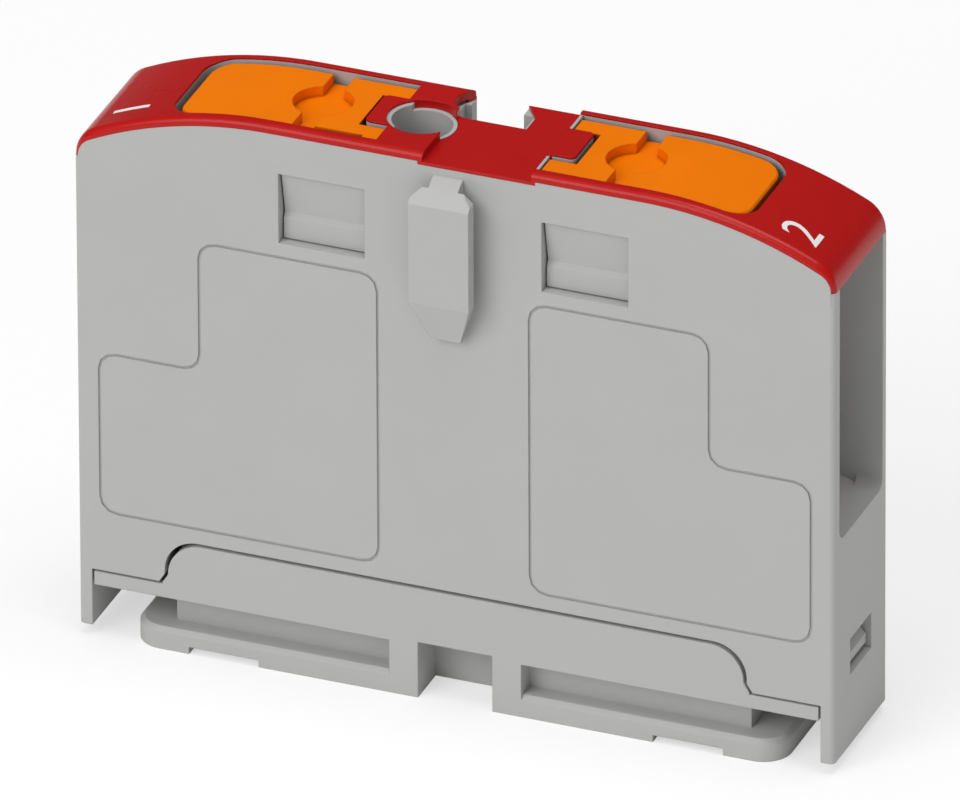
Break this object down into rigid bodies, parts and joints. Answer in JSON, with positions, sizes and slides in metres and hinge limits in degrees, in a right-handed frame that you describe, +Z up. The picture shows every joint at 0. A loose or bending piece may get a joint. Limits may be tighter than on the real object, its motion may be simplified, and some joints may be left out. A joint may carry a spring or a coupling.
{
  "type": "distribution block",
  "caption": "Slim feed-in distribution block with a rail foot, side conductor entries, a test plug hole and spring clamps under sprung release levers.",
  "frame": {"origin": "middle of the foot's underside", "axes": "+X along the block towards the conductor entry shown on the right, -Y out of the face with the coupling key, +Z up from the rail"},
  "size_m": [0.067, 0.0146, 0.0512],
  "materials": {
    "grey_plastic": "satin",
    "red_plastic": "satin",
    "orange_plastic": "satin",
    "tinned_copper": "tinned",
    "brass": "plain",
    "spring_steel": "rolled"
  },
  "bodies": {
    "block": {"housing": "grey_plastic", "top_cover": "red_plastic", "lever_frame": "grey_plastic", "rail_foot": "grey_plastic", "busbar": "tinned_copper", "test_socket": "brass", "clamp_cage_right": "spring_steel", "clamp_spring_right": "spring_steel", "clamp_cage_left": "spring_steel", "clamp_spring_left": "spring_steel"},
    "lever_right": {"lever_right": "orange_plastic"},
    "lever_left": {"lever_left": "orange_plastic"}
  },
  "joints": [
    {"name": "lever_right_press", "type": "hinge", "parent": "block", "child": "lever_right", "pos_m": [0.0083, 0, 0.0484], "axis": [0, 1, 0], "range_deg": [0, 12], "stiffness_Nm_per_rad": 0.3, "springref_deg": -2.86, "deforming": ["clamp_spring_right"]},
    {"name": "lever_left_press", "type": "hinge", "parent": "block", "child": "lever_left", "pos_m": [-0.0083, 0, 0.0484], "axis": [0, -1, 0], "range_deg": [0, 12], "stiffness_Nm_per_rad": 0.3, "springref_deg": -2.86, "deforming": ["clamp_spring_left"]}
  ]
}
